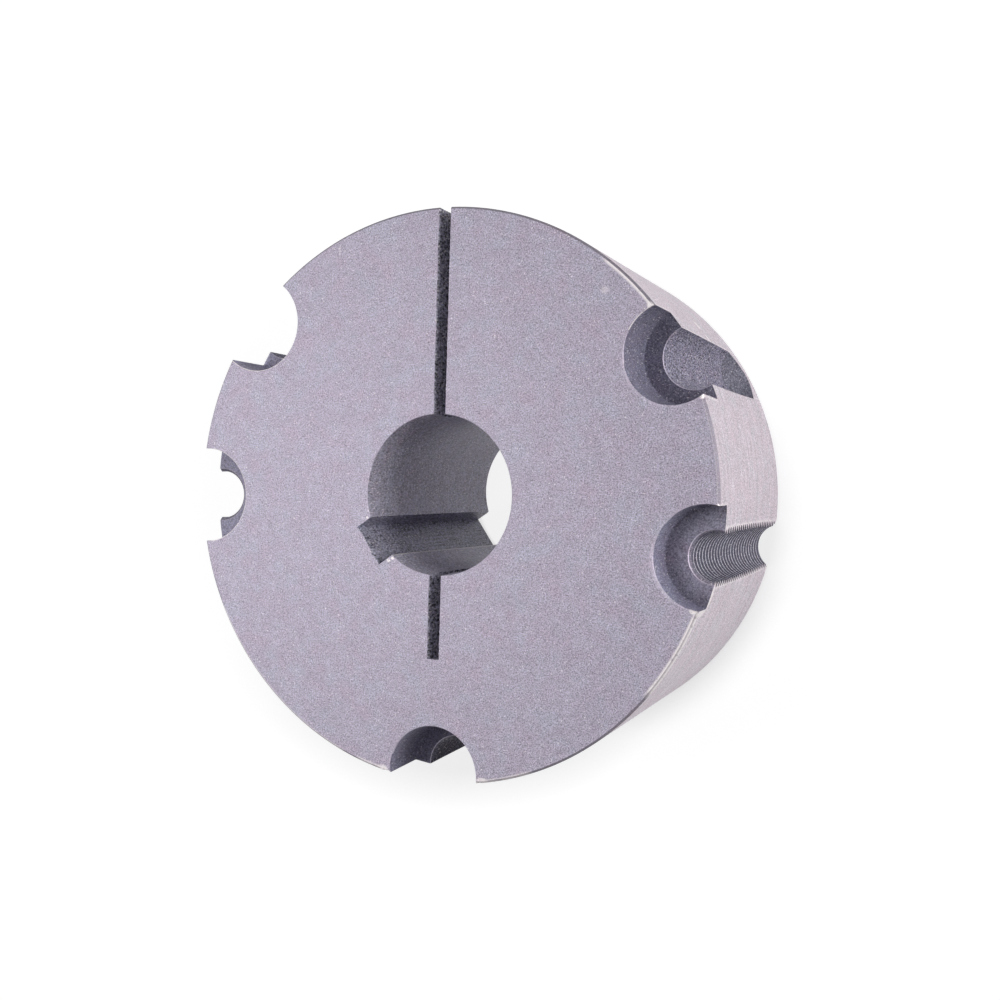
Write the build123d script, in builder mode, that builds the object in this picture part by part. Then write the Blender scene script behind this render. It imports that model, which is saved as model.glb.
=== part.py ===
"""Taper bush: a split, tapered locking bush that clamps a wheel's hub onto a shaft, in millimetres.

The bush is turned from one cast-iron blank. It stands on its small end at z = 0, with the bore's
axis on Z, the large face on top and the split towards +Y. Angles are counted in degrees from +X,
counterclockwise seen from above the large face.
"""

from build123d import *
from math import radians, tan
import os

# Turned blank
length = 63.5
large_end_diameter = 127.0
taper_per_side = 4.0
rim_chamfer = 0.5
bore_diameter = 35.0
bore_chamfer = 0.4

# Keyway in the bore's wall
key_width = 10.0
key_depth = 3.3
key_corner_radius = 0.4
key_angle = 215.0

# Split through one wall, and the relief slit that lets the opposite wall flex
slit_width = 2.8
slit_angle = 90.0
relief_depth = 18.9

# Half-holes along the taper, whose other halves are in the hub
hole_circle_diameter = 123.8
screw_diameter = 12.7
screw_head_diameter = 21.4
head_clearance = 0.8
locking_angles = (30.0, 142.0, 270.0)
locking_shoulder_depth = 12.7
locking_clearance = 0.8
locking_hole_land = 7.5
drill_point_angle = 90.0
jacking_angles = (182.0, 350.0)
jacking_shoulder_depth = 6.5
tap_drill_diameter = 10.5
countersink_angle = 90.0

# Sizes that follow from the driving ones
large_end_radius = large_end_diameter / 2
small_end_radius = large_end_radius - length * tan(radians(taper_per_side))
bore_radius = bore_diameter / 2
hole_circle_radius = hole_circle_diameter / 2
counterbore_radius = (screw_head_diameter + head_clearance) / 2
locking_hole_radius = (screw_diameter + locking_clearance) / 2
locking_hole_depth = length - locking_hole_land
drill_point_length = locking_hole_radius / tan(radians(drill_point_angle / 2))
large_face = Plane.XY.offset(length)

with BuildPart() as taper_bush:
    # Section of the turned blank, revolved about the bore's axis
    with BuildSketch(Plane.XZ):
        with BuildLine():
            Polyline(
                (bore_radius, 0),
                (small_end_radius, 0),
                (large_end_radius, length),
                (bore_radius, length),
                close=True,
            )
        make_face()
    revolve(axis=Axis.Z)
    end_circles = taper_bush.edges().filter_by(GeomType.CIRCLE).sort_by(SortBy.RADIUS)
    chamfer(end_circles[:2], length=bore_chamfer)
    chamfer(end_circles[2:], length=rim_chamfer)

    # Keyway, broached from end to end
    with BuildSketch():
        with PolarLocations(0, 1, start_angle=key_angle):
            Rectangle(bore_radius + key_depth, key_width, align=(Align.MIN, Align.CENTER))
        floor_corners = vertices().sort_by_distance((0, 0))[2:]
        fillet(floor_corners, radius=key_corner_radius)
    extrude(amount=length, mode=Mode.SUBTRACT)

    # Split from the bore out through the rim, and the relief slit opposite it
    with BuildSketch():
        with PolarLocations(0, 1, start_angle=slit_angle):
            Rectangle(large_end_diameter, slit_width, align=(Align.MIN, Align.CENTER))
        with PolarLocations(0, 1, start_angle=slit_angle + 180):
            Rectangle(bore_radius + relief_depth, slit_width, align=(Align.MIN, Align.CENTER))
    extrude(amount=length, mode=Mode.SUBTRACT)

    # Locking half-holes: a deep shoulder for the screw's head and a blind plain hole below it
    for angle in locking_angles:
        with Locations(large_face):
            with PolarLocations(hole_circle_radius, 1, start_angle=angle):
                CounterBoreHole(
                    radius=locking_hole_radius,
                    counter_bore_radius=counterbore_radius,
                    counter_bore_depth=locking_shoulder_depth,
                    depth=locking_hole_depth,
                )
        with Locations(large_face.offset(-locking_hole_depth)):
            with PolarLocations(hole_circle_radius, 1, start_angle=angle):
                Cone(
                    bottom_radius=locking_hole_radius,
                    top_radius=0,
                    height=drill_point_length,
                    rotation=(180, 0, 0),
                    align=(Align.CENTER, Align.CENTER, Align.MIN),
                    mode=Mode.SUBTRACT,
                )

    # Jacking half-holes: a shallow shoulder and a countersunk tapped hole right through
    for angle in jacking_angles:
        with Locations(large_face):
            with PolarLocations(hole_circle_radius, 1, start_angle=angle):
                CounterBoreHole(
                    radius=tap_drill_diameter / 2,
                    counter_bore_radius=counterbore_radius,
                    counter_bore_depth=jacking_shoulder_depth,
                )
        with Locations(large_face.offset(-jacking_shoulder_depth)):
            with PolarLocations(hole_circle_radius, 1, start_angle=angle):
                CounterSinkHole(
                    radius=tap_drill_diameter / 2,
                    counter_sink_radius=screw_diameter / 2,
                    counter_sink_angle=countersink_angle,
                )

taper_bush.part.label = "taper_bush"
os.makedirs("parts", exist_ok=True)
export_step(taper_bush.part, "parts/taper_bush.step")
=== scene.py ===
"""Dresses a taper bush for Blender: the turned, split and drilled iron, its thread, wear and light.

The bush stands on its small end at z = 0 with its bore on Z, its large face on top and its split
towards +Y. Sizes are in metres, and angles are counted from +X, counterclockwise seen from above.
"""

import math
import random

import bmesh
import bpy
from mathutils import Euler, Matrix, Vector


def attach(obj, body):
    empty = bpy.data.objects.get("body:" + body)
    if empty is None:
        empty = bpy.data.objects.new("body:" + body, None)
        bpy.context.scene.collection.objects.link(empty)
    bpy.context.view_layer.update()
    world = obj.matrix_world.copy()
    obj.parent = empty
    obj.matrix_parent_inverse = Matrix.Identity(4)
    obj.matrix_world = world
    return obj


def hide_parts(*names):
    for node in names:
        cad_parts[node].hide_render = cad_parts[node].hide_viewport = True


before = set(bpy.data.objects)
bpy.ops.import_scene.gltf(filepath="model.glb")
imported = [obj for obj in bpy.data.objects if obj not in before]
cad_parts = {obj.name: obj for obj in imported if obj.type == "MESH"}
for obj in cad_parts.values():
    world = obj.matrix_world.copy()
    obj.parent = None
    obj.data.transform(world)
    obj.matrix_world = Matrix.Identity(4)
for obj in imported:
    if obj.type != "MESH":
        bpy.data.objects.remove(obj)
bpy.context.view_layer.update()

bl_info = {
    "name": "Taper Bush",
    "version": (1, 0, 0),
    "blender": (4, 5, 0),
    "location": "View3D > Sidebar > Taper Bush",
    "description": "Makes a split taper bush in phosphated cast iron, and the studio it is shown in",
    "category": "Add Mesh",
}

MM = 0.001
NODE = "taper_bush"
BODY = "root"

# How finely round things are divided
BLANK_SEGMENTS = 360
HOLE_SEGMENTS = 96
THREAD_SEGMENTS = 72
CORNER_STEPS = 5
SMOOTH_ANGLE = math.radians(28)

# Cutters reach this far past the faces that they cut through
OVERRUN = 1.0 * MM

# A side whose normal points up or down at least this much is faced flat
FACED = 0.9999

# Places round the bush
KEY_ANGLE = math.radians(215)
LOCKING_ANGLES = (30, 142, 270)
JACKING_ANGLES = (182, 350)

# How each half-hole was really cut, in millimetres, with angles in degrees:
# shift and wider are how far its seat lies off in x and y, and how much larger its radius is
# hole is how far a locking hole lies off in x, and how much larger its radius is
# worn is the side where the seat's mouth is worn round, and by how much
# bare has the arcs where the mouth is bare iron, which is partly painted highlight on its edge
# the flag after bare says whether the seat is shown in painted light: a lighter copy of the seats'
# colour, without painted shade
# countersink is how much larger the radius of a thread's upper mouth is
# lead is a thread's plain radius at the top, and the depths where it starts and where it is full
CUT_AS = {
    30: {
        "shift": (-0.85, 0.0), "wider": -0.45, "hole": (-0.15, 0.2), "worn": (235, 0.6),
        "bare": ((116, 152),), "in_painted_light": False,
    },
    142: {
        "shift": (0.1, 0.4), "wider": -0.1, "hole": (0.0, 0.1), "worn": (30, 0.0),
        "bare": ((225, 320),), "in_painted_light": True,
    },
    270: {
        "shift": (0.5, 0.1), "wider": -0.45, "hole": (0.4, 0.0), "worn": (180, 0.25),
        "bare": (), "in_painted_light": False,
    },
    182: {
        "shift": (-0.15, 0.0), "wider": 0.0, "worn": (0, 0.12), "bare": ((275, 440),), "in_painted_light": True,
        "countersink": 0.0, "lead": (5.6, 5.0, 9.0),
    },
    350: {
        "shift": (0.0, 0.1), "wider": -0.15, "worn": (195, 0.9), "bare": ((258, 292),), "in_painted_light": False,
        "countersink": -0.55, "lead": (5.2, 0.6, 1.8),
    },
}

# Where the large end's chamfer is rubbed, and where painted glints stand for the light that it catches:
# middle and half of each arc in degrees, how much on its inner edge, on its outer edge and between
# them, and the width in millimetres
RIM_WEAR_AND_GLINTS = (
    (-29.5, 10, 1.0, 1.0, 0.45, 0.6), (-103, 5, 0.7, 0.6, 0.4, 0.5), (-76, 9, 0.5, 0.6, 0.45, 0.4),
    (-132, 22, 0.3, 0.5, 0.45, 0.3), (7, 17, 0.3, 0.0, 0.0, 0.2), (46.5, 8, 1.0, 0.0, 0.0, 0.75),
)

# Rubbed and glinting arcs fade out over this many degrees; lines are full up to this share of their
# width
RIM_WEAR_AND_GLINT_FADE = 2
RIM_WEAR_AND_GLINT_FULL = 0.3

# Marks that show bare iron: place in millimetres, half sizes and how bare they are
BARE_MARKS = (
    ((47.8, 40.7, 63.5), (1.0, 1.0, 0.5), 1.0),
    ((58.6, -21.5, 63.5), (1.0, 0.8, 0.7), 1.0),
    ((60.1, -19.2, 56.2), (1.8, 3.2, 1.6), 1.0),
    ((59.3, -22.1, 60.4), (1.2, 1.0, 3.8), 0.9),
    ((60.7, -15.9, 52.0), (1.0, 1.0, 5.0), 0.7),
    ((-12.1, -61.9, 63.5), (1.6, 1.0, 0.9), 0.8),
    ((12.6, -61.6, 63.5), (1.6, 0.7, 0.8), 0.8),
    ((59.1, 22.2, 63.4), (0.8, 0.8, 0.7), 1.0),
    ((63.0, -0.3, 63.4), (0.7, 0.9, 0.7), 1.0),
    ((57.3, -16.4, 1.0), (1.0, 1.2, 1.6), 0.9),
    ((-11.9, -15.1, 63.5), (0.5, 0.45, 0.6), 1.0),
    ((-10.9, -14.6, 63.5), (0.5, 0.4, 0.5), 1.0),
    ((-17.7, -5.8, 63.5), (0.35, 0.4, 0.5), 0.8),
    ((37.7, 44.1, 63.5), (1.2, 0.9, 0.3), 0.35),
    ((-26.7, 55.0, 63.5), (0.25, 1.6, 0.3), 0.4),
    ((45.8, 40.0, 25.4), (1.4, 1.6, 1.7), 1.0),
    ((48.2, 37.2, 24.6), (1.2, 1.4, 1.1), 0.9),
)

# Marks are full up to this share of their half sizes
BARE_MARK_FULL = 0.6

# Torn lip of the keyway's floor at the large face: place across the key and how far it is torn out
KEY_LIP = (
    (-5.0, 0.75), (-4.75, 0.30), (-4.2, 0.24), (-3.8, 0.32), (-3.5, 0.16), (-2.7, 0.24), (-2.4, 0.08),
    (-1.4, 0.14), (-1.1, 0.28), (-0.2, 0.20), (0.2, 0.36), (1.0, 0.32), (1.6, 0.42), (2.2, 0.72),
    (2.35, 0.78), (2.6, 0.36), (3.3, 0.26), (3.8, 0.34), (4.4, 0.22), (4.75, 0.40), (5.0, 0.60),
)
# The place of the key's side in that list
KEY_LIP_SIDE = 5.0

# The share of the tears at depths below the large face in millimetres, from the lowest to above it
KEY_LIP_LEVELS = ((2.4, 0.0), (0.8, 0.35), (0.15, 0.85), (-1.0, 1.2))

# Points along each side of the key, and how far the side is torn out there, in millimetres
KEY_SIDE_STEPS = 7
KEY_SIDE_TEARS = (-0.05, 0.12)

# The saw ran a little to the left of the bore's middle
SLIT_SHIFT = -0.17 * MM

# Its walls waver by up to this many millimetres at each step along them
SAW_STEP = 0.7 * MM
SAW_WAVER = 0.06

# A seat's mouth that is worn more than this, in millimetres, turns into the wall
WIDE_WEAR = 0.2

# How much larger a thread's mouth at the small end is, and how deep it goes
LOWER_MOUTH_WIDER = 0.4 * MM
LOWER_MOUTH_DEPTH = 1.2 * MM

# Nicks that show bare iron: place in millimetres and half sizes
NICKS = (
    ((-11.3, -62.5, 63.2), (1.3, 0.5, 0.7)),
    ((-12.6, -62.0, 63.5), (0.8, 0.35, 0.5)),
    ((11.6, -62.3, 63.4), (0.7, 0.6, 0.9)),
    ((11.1, -62.6, 61.6), (0.35, 0.5, 0.8)),
    ((-1.5, 38.6, 63.4), (0.35, 0.5, 0.4)),
)

# The least and the most that a corner of a nick reaches, as a share
NICK_UNEVEN = (0.7, 1.1)

# Seeds of the torn keyway and of the wavering saw cuts
KEY_SEED = 7
SPLIT_SEED = 11
RELIEF_SEED = 12

# How tool marks are drawn out: per radian round the bore, and in x, y and z elsewhere
MARKS_ROUND = 3 * MM
MARKS_DRAWN = {"upright": (1, 1, 0.03), "level": (1, 0.07, 1)}

# The coat's two shades, as shares of its colour
PINKER = (1.035, 0.98, 0.99)
GREENER = (0.965, 1.015, 1.01)

# Sizes of the coat's patches, stains and bright grains
PATCH_SIZE = 2.6 * MM
STAIN_SIZE = 8 * MM
GRAIN_SIZE = 0.3 * MM

# How rough every noise is
NOISE_ROUGHNESS = 0.6

# The parts of the noises' ranges that count, and for the longer ones what they turn into: how light
# the coat is, and how it leans from its pinker shade to its greener one
CRYSTAL_RANGE = (0.2, 0.8)
MARK_RANGE = (0.25, 0.75)
PATCH_LIGHT = (0.25, 0.75, 0.96, 1.04)
PATCH_TINT = (0.3, 0.7, -0.2, 0.2)
WHOLE_TINT = (0.1, 0.9, 0.0, 1.0)

# How softly a bright grain ends, how the crystals change the roughness, and the relief's depth
GRAIN_EDGE = 0.08
ROUGH_RANGE = (0.3, 0.7)
ROUGH_SPREAD = 0.08
RELIEF_DEPTH = 0.02 * MM

# A rubbed edge: its lumps, the part of their noise's range where bare iron starts and is full, how
# far that moves down as the edge is rubbed more, and the most iron that shows
WEAR_SIZE = 0.8 * MM
WEAR_RANGE = (0.62, 0.70)
WEAR_REACH = 0.4
MOST_WEAR = 0.95

# Where the coat has broken off: size of the lumps in millimetres, their detail, and the range of
# their noise with the share of bare iron that it leaves
BREAKS = {
    "rim": (0.9, 2.0, (0.3, 0.45, 0.55, 1.0)),
    "marks": (0.4, 1.0, (0.38, 0.48, 0.45, 1.0)),
    "half_holes": (1.2, 2.0, (0.35, 0.6, 0.15, 1.0)),
}

# Widths of the bare lines on the half-holes' edges, and of the one along the keyway from where it
# is full to where it ends. These lines are partly rubbed iron and partly painted highlight
LOCKING_LINE = 0.35 * MM
JACKING_LINE = 0.6 * MM
KEY_LINE = (0.08 * MM, 0.3 * MM)

# A colour mix's two colours among its inputs, and its result among its outputs
FIRST = 6
SECOND = 7
MIXED = 2

# What a finish has where its own look doesn't say otherwise
PLAIN_LOOK = {
    "mottle": 0.5, "grain": 0.3, "drawn": 1.0, "marks": 0.1, "lay": "round", "pitch": 0.5,
    "groove": 0.5, "specks": 0.3, "rare": 0.74, "metallic": 0.3, "gloss": 0.5, "rough": 0.5,
    "relief": 0.4, "painted_shade": None, "rim": False, "marked": False, "key_edge": 0.0, "edges": 0.0,
    "rubbed": 0.0,
}

# The floor's painted close shadow: how far from the bush it reaches and how open the floor is there,
# the white that the bore's opening keeps by radius, and the white that the rest keeps by depth in y
CLOSE_REACH = 9 * MM
CLOSE_OPEN = (0.5, 0.95)
BORE_WHITE = (20 * MM, 24 * MM, 0.97, 0.0)
CLOSE_WHITE = (-30 * MM, 30 * MM, 0.74, 0.98)

# A painted shadow, laid as if the large end threw it: its middle, its edge's inner and outer radius,
# how its depth leans with x, and the white that it keeps by that depth
PAINTED_SHADOW_MIDDLE = (-32 * MM, -2 * MM, 0)
PAINTED_SHADOW_EDGE = (73 * MM, 85 * MM)
PAINTED_SHADOW_LEAN = -0.5
PAINTED_SHADOW_WHITE = (-65 * MM, 5 * MM, 0.80, 0.98)

# Half the floor's side, its roughness as paper, and the white of the studio
FLOOR_HALF_SIZE = 4.0
PAPER_ROUGHNESS = 0.5
WHITE = (1, 1, 1, 1)

# The world's light grows over this range of directions in y, from the first share to the second
WORLD_DEPTHS = (-0.6, 0.3)
WORLD_SHARES = (0.06, 1.15)

# The lamps' size, the point that they look at and their places
LAMP_SIZE = 0.25
LAMP_TARGET = (0, 0, 0.05)
LEFT_LAMP_PLACE = (-0.24, 0.0, 0.42)
RIGHT_LAMP_PLACE = (0.50, 0.10, 0.16)

# Camera: place in millimetres, turn in degrees and the frame's shift
CAMERA_PLACE = (150.32, 8.27, 361.20)
CAMERA_TURN = (0.3055, 28.3312, 1.7693)
CAMERA_SHIFT = (0.1022, -0.0297)


def srgb(code):
    """A colour written as an sRGB hex value, turned to linear."""
    parts = [int(code[i:i + 2], 16) / 255 for i in (0, 2, 4)]
    linear = [p / 12.92 if p <= 0.04045 else ((p + 0.055) / 1.055) ** 2.4 for p in parts]
    return (*linear, 1.0)


def length_setting(name, millimetres, description):
    """A length that a user may change, given in millimetres and kept in metres."""
    return bpy.props.FloatProperty(
        name=name, description=description, default=millimetres * MM, min=0.0, precision=5,
        subtype="DISTANCE", unit="LENGTH",
    )


def angle_setting(name, degrees, description):
    """An angle that a user may change, given in degrees."""
    return bpy.props.FloatProperty(
        name=name, description=description, default=math.radians(degrees), subtype="ANGLE",
        unit="ROTATION",
    )


def colour_setting(name, code, description):
    """A colour that a user may change, given as an sRGB hex value."""
    return bpy.props.FloatVectorProperty(
        name=name, description=description, default=srgb(code), size=4, min=0.0, max=1.0,
        subtype="COLOR",
    )


def share_setting(name, value, description, most=1.0):
    """A number that a user may change."""
    return bpy.props.FloatProperty(
        name=name, description=description, default=value, min=0.0, max=most,
    )


class BushSizes(bpy.types.PropertyGroup):
    """Sizes of the bush."""

    length: length_setting("Length", 63.5, "Length of the bush along its bore")
    large_end_diameter: length_setting("Large end", 127.0, "Diameter of the large end")
    taper: angle_setting("Taper", 4.0, "Slope of the flank to the bore's axis")
    rim_chamfer: length_setting("Rim chamfer", 0.5, "Broken edge round both ends")
    bore_diameter: length_setting("Bore", 35.0, "Diameter of the bore")
    bore_flare: length_setting("Bore flare", 0.45, "How far the bore's worn mouth opens")
    bore_flare_depth: length_setting("Bore flare's depth", 6.0, "Depth where the bore is true again")
    lower_bore_chamfer: length_setting("Lower bore chamfer", 0.7, "Bore's chamfer at the small end")
    key_width: length_setting("Key width", 10.0, "Width of the keyway")
    key_depth: length_setting("Key depth", 3.3, "Depth of the keyway beyond the bore")
    slit_width: length_setting("Saw cut", 2.9, "Width of the split and of the relief slit")
    slit_break: length_setting("Saw cut's edge", 0.06, "Broken edge at the mouths of the saw cuts")
    relief_depth: length_setting("Relief slit", 18.9, "Depth of the relief slit beyond the bore")
    hole_circle_diameter: length_setting("Hole circle", 123.8, "Circle of the half-holes' axes")
    screw_diameter: length_setting("Screw", 12.7, "Diameter of the screws and of their thread")
    counterbore_diameter: length_setting("Counterbore", 22.2, "Diameter of the screw heads' seats")
    lower_lead: length_setting("Lower lead", 4.8, "Height over which the thread's crests grow")
    seat_corner: length_setting("Seat corner", 0.35, "Radius between a seat's wall and its floor")
    locking_shoulder: length_setting("Locking shoulder", 12.7, "Depth of the locking seats")
    locking_diameter: length_setting("Locking hole", 13.5, "Diameter of the locking holes")
    locking_depth: length_setting("Locking depth", 56.0, "Depth of the locking holes' full width")
    jacking_shoulder: length_setting("Jacking shoulder", 6.5, "Depth of the jacking seats")
    countersink_diameter: length_setting("Countersink", 12.5, "Mouths of the tapped holes")
    tap_drill_diameter: length_setting("Tap drill", 10.4, "Diameter across the thread's crests")
    thread_pitch: length_setting("Pitch", 25.4 / 12, "Pitch of the thread, 12 to the inch")
    edge_break: length_setting("Edge break", 0.16, "Broken edge at the mouths of the half-holes")


class BushFinish(bpy.types.PropertyGroup):
    """Colours of the bush."""

    face: colour_setting("Face", "B0A8BA", "Turned end faces")
    flank: colour_setting("Flank", "D2C6D0", "Turned taper")
    # Darker than the face: painted shade on the chamfers
    rim: colour_setting("Rim", "837C88", "Chamfers round the ends")
    bore: colour_setting("Bore", "B2AEBE", "Bored wall")
    keyway: colour_setting("Keyway", "9F9EAE", "Broached keyway")
    saw_cut: colour_setting("Saw cuts", "9C9AA8", "Walls of the split and of the relief slit")
    seat: colour_setting("Seats", "908DA3", "Counterbored seats of the screw heads")
    # Lighter than the seats' colour: painted light on the jacking seats' floors
    painted_lit_seat_floor: colour_setting("Seat floors", "A29DB1", "Floors of the jacking seats")
    # A lighter copy of the seats' colour: painted light on the seats at 142° and 182°
    painted_lit_seat: colour_setting("Clean seats", "AEAAC0", "Seats without dirt")
    hole: colour_setting("Holes", "8E8A9D", "Drilled locking holes")
    # Darker than the holes: painted shade at the holes' ends
    drill_point: colour_setting("Drill points", "82808E", "Ends of the locking holes")
    countersink: colour_setting("Countersinks", "8E8898", "Mouths of the tapped holes")
    thread: colour_setting("Thread", "6B6979", "Roots and flanks of the thread")
    crest: colour_setting("Thread crests", "D0CDD9", "Crests of the thread")
    # Lighter than the face: painted highlight on the broken edges
    edge: colour_setting("Edges", "C6BDCF", "Broken edges")
    bare: colour_setting("Bare metal", "FAF2F4", "Nicks and rubbed edges")


class StudioSettings(bpy.types.PropertyGroup):
    """Floor and lights."""

    floor: colour_setting("Floor", "98989A", "Paper floor, before the camera's lift to white")
    lift: share_setting("Lift", 0.88, "White that the camera sees over the floor's own light")
    world: share_setting("World", 0.3, "Strength of the light from all round", 4.0)
    left_lamp: share_setting("Left lamp", 0.61, "Power of the soft lamp on the left, in watts", 50.0)
    right_lamp: share_setting("Right lamp", 1.4, "Power of the soft lamp on the right, in watts", 50.0)
    lens: bpy.props.FloatProperty(
        name="Lens", description="Focal length of the camera", default=54.42, unit="CAMERA",
    )


# Mesh building


def turned(radius, angle, z):
    """The point at a radius, an angle and a height."""
    return Vector((radius * math.cos(angle), radius * math.sin(angle), z))


def mesh_object(name, points, faces, materials):
    """An object in the scene with these faces, each with its own material's number."""
    mesh = bpy.data.meshes.new(name)
    mesh.from_pydata(points, [], [corners for corners, _ in faces])
    mesh.polygons.foreach_set("material_index", [number for _, number in faces])
    for material in materials:
        mesh.materials.append(material)
    built = bpy.data.objects.new(name, mesh)
    bpy.context.scene.collection.objects.link(built)
    shape = bmesh.new()
    shape.from_mesh(mesh)
    bmesh.ops.recalc_face_normals(shape, faces=shape.faces)
    shape.to_mesh(mesh)
    shape.free()
    return built


def on_arc(turn, arc):
    """Whether an angle lies on an arc, which has its start and end in degrees."""
    start, end = arc
    return (math.degrees(turn) - start) % 360 < end - start


def revolved(name, profile_at, finish_at, segments, centre, materials):
    """A closed solid made by turning a profile of (radius, height) points about an upright axis.

    profile_at gives the profile at an angle, and finish_at the material's number of the band above
    a point of it at that angle. A profile that starts and ends on the axis is closed by its end
    points, any other runs round as a ring.
    """
    turns = [math.tau * step / segments for step in range(segments)]
    profiles = [profile_at(turn) for turn in turns]
    solid = profiles[0][0][0] == 0
    points = []
    rings = []
    for row in range(len(profiles[0])):
        if profiles[0][row][0] == 0:
            rings.append([len(points)] * segments)
            points.append(Vector((centre[0], centre[1], profiles[0][row][1])))
            continue
        rings.append(list(range(len(points), len(points) + segments)))
        for turn, profile in zip(turns, profiles):
            place = turned(profile[row][0], turn, profile[row][1])
            points.append(place + Vector((centre[0], centre[1], 0)))
    pairs = list(zip(rings, rings[1:]))
    if not solid:
        pairs.append((rings[-1], rings[0]))
    faces = []
    for row, (low, high) in enumerate(pairs):
        for step, turn in enumerate(turns):
            after = (step + 1) % segments
            corners = [low[step], low[after], high[after], high[step]]
            faces.append((list(dict.fromkeys(corners)), finish_at(row, turn)))
    return mesh_object(name, points, faces, materials)


def lofted(name, sections, finishes, materials):
    """A closed solid through sections that all have the same number of points.

    finishes has the material's number of the strip from each point of a section to the next.
    """
    count = len(sections[0])
    points = [point for section in sections for point in section]
    faces = [
        (list(range(count)), finishes[0]),
        (list(range(len(points) - count, len(points))), finishes[0]),
    ]
    for level in range(len(sections) - 1):
        base = level * count
        for step in range(count):
            after = (step + 1) % count
            corners = [base + step, base + after, base + count + after, base + count + step]
            faces.append((corners, finishes[step]))
    return mesh_object(name, points, faces, materials)


def blank(sizes, finish, materials):
    """The turned blank with its bore and its broken edges."""
    large = sizes.large_end_diameter / 2
    small = large - sizes.length * math.tan(sizes.taper)
    bore = sizes.bore_diameter / 2
    rim = sizes.rim_chamfer
    along = Vector((math.sin(sizes.taper), math.cos(sizes.taper))) * rim
    flare = sizes.bore_flare
    lower = sizes.lower_bore_chamfer
    lip = sizes.slit_break * 2
    profile = (
        (bore + lower, 0), (small - rim, 0), (small + along.x, along.y),
        (large - along.x, sizes.length - along.y), (large - rim, sizes.length),
        (bore + flare, sizes.length), (bore + flare - lip, sizes.length - lip),
        (bore, sizes.length - sizes.bore_flare_depth), (bore, lower),
    )
    bands = ("face", "rim", "flank", "rim", "face", "edge", "bore", "bore", "bore")
    numbers = [finish[band] for band in bands]
    return revolved(
        NODE + "_dressed", lambda _: profile, lambda row, _: numbers[row], BLANK_SEGMENTS, (0, 0),
        materials,
    )


def keyway(sizes, finish, materials):
    """The cutter of the keyway, broached from end to end, with a torn lip at the large face."""
    half = sizes.key_width / 2
    floor = sizes.bore_diameter / 2 + sizes.key_depth
    outward = Vector((math.cos(KEY_ANGLE), math.sin(KEY_ANGLE), 0))
    across = Vector((-outward.y, outward.x, 0))
    ragged = random.Random(KEY_SEED)
    tears = [ragged.uniform(*KEY_SIDE_TEARS) * MM for _ in range(2 * KEY_SIDE_STEPS)]
    # The sides start well inside the bore and end just short of the floor
    reaches = [floor * (0.2 + 0.75 * step / (KEY_SIDE_STEPS - 1)) for step in range(KEY_SIDE_STEPS)]
    right_side = list(zip(reaches, tears[:KEY_SIDE_STEPS]))
    left_side = list(zip(reaches, tears[KEY_SIDE_STEPS:]))
    levels = [(sizes.length - depth * MM, torn) for depth, torn in KEY_LIP_LEVELS]
    sections = []
    for z, torn in [(-OVERRUN, 0.0)] + levels:
        section = [outward * reach - across * (half + tear * torn) for reach, tear in right_side]
        for place, tear in KEY_LIP:
            aside = across * place / KEY_LIP_SIDE * half
            section.append(outward * (floor + tear * MM * torn) + aside)
        for reach, tear in reversed(left_side):
            section.append(outward * reach + across * (half + tear * torn))
        sections.append([point + Vector((0, 0, z)) for point in section])
    return lofted("keyway_cutter", sections, [finish["keyway"]] * len(sections[0]), materials)


def saw_cut(name, sizes, end, seed, finish, materials):
    """The cutter of a saw cut from the axis to end along Y, with wavering walls and rubbed edges."""
    wander = random.Random(seed)
    half = sizes.slit_width / 2
    top = sizes.length
    edge = sizes.slit_break
    steps = round(abs(end) / SAW_STEP)
    sections = []
    for step in range(steps + 1):
        y = end * step / steps
        left = SLIT_SHIFT - half + wander.uniform(-SAW_WAVER, SAW_WAVER) * MM
        right = SLIT_SHIFT + half + wander.uniform(-SAW_WAVER, SAW_WAVER) * MM
        outline = (
            (left, -OVERRUN), (right, -OVERRUN), (right, top - edge * 2), (right + edge, top),
            (right + edge, top + OVERRUN), (left - edge, top + OVERRUN), (left - edge, top),
            (left, top - edge * 2),
        )
        sections.append([Vector((x, y, z)) for x, z in outline])
    looks = ("saw_cut", "saw_cut", "edge", "saw_cut", "saw_cut", "saw_cut", "edge", "saw_cut")
    return lofted(name, sections, [finish[look] for look in looks], materials)


def hole_centre(sizes, angle, shift=(0, 0)):
    """The axis of a half-hole at an angle in degrees, shifted by millimetres."""
    place = turned(sizes.hole_circle_diameter / 2, math.radians(angle), 0)
    return (place.x + shift[0] * MM, place.y + shift[1] * MM)


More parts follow.
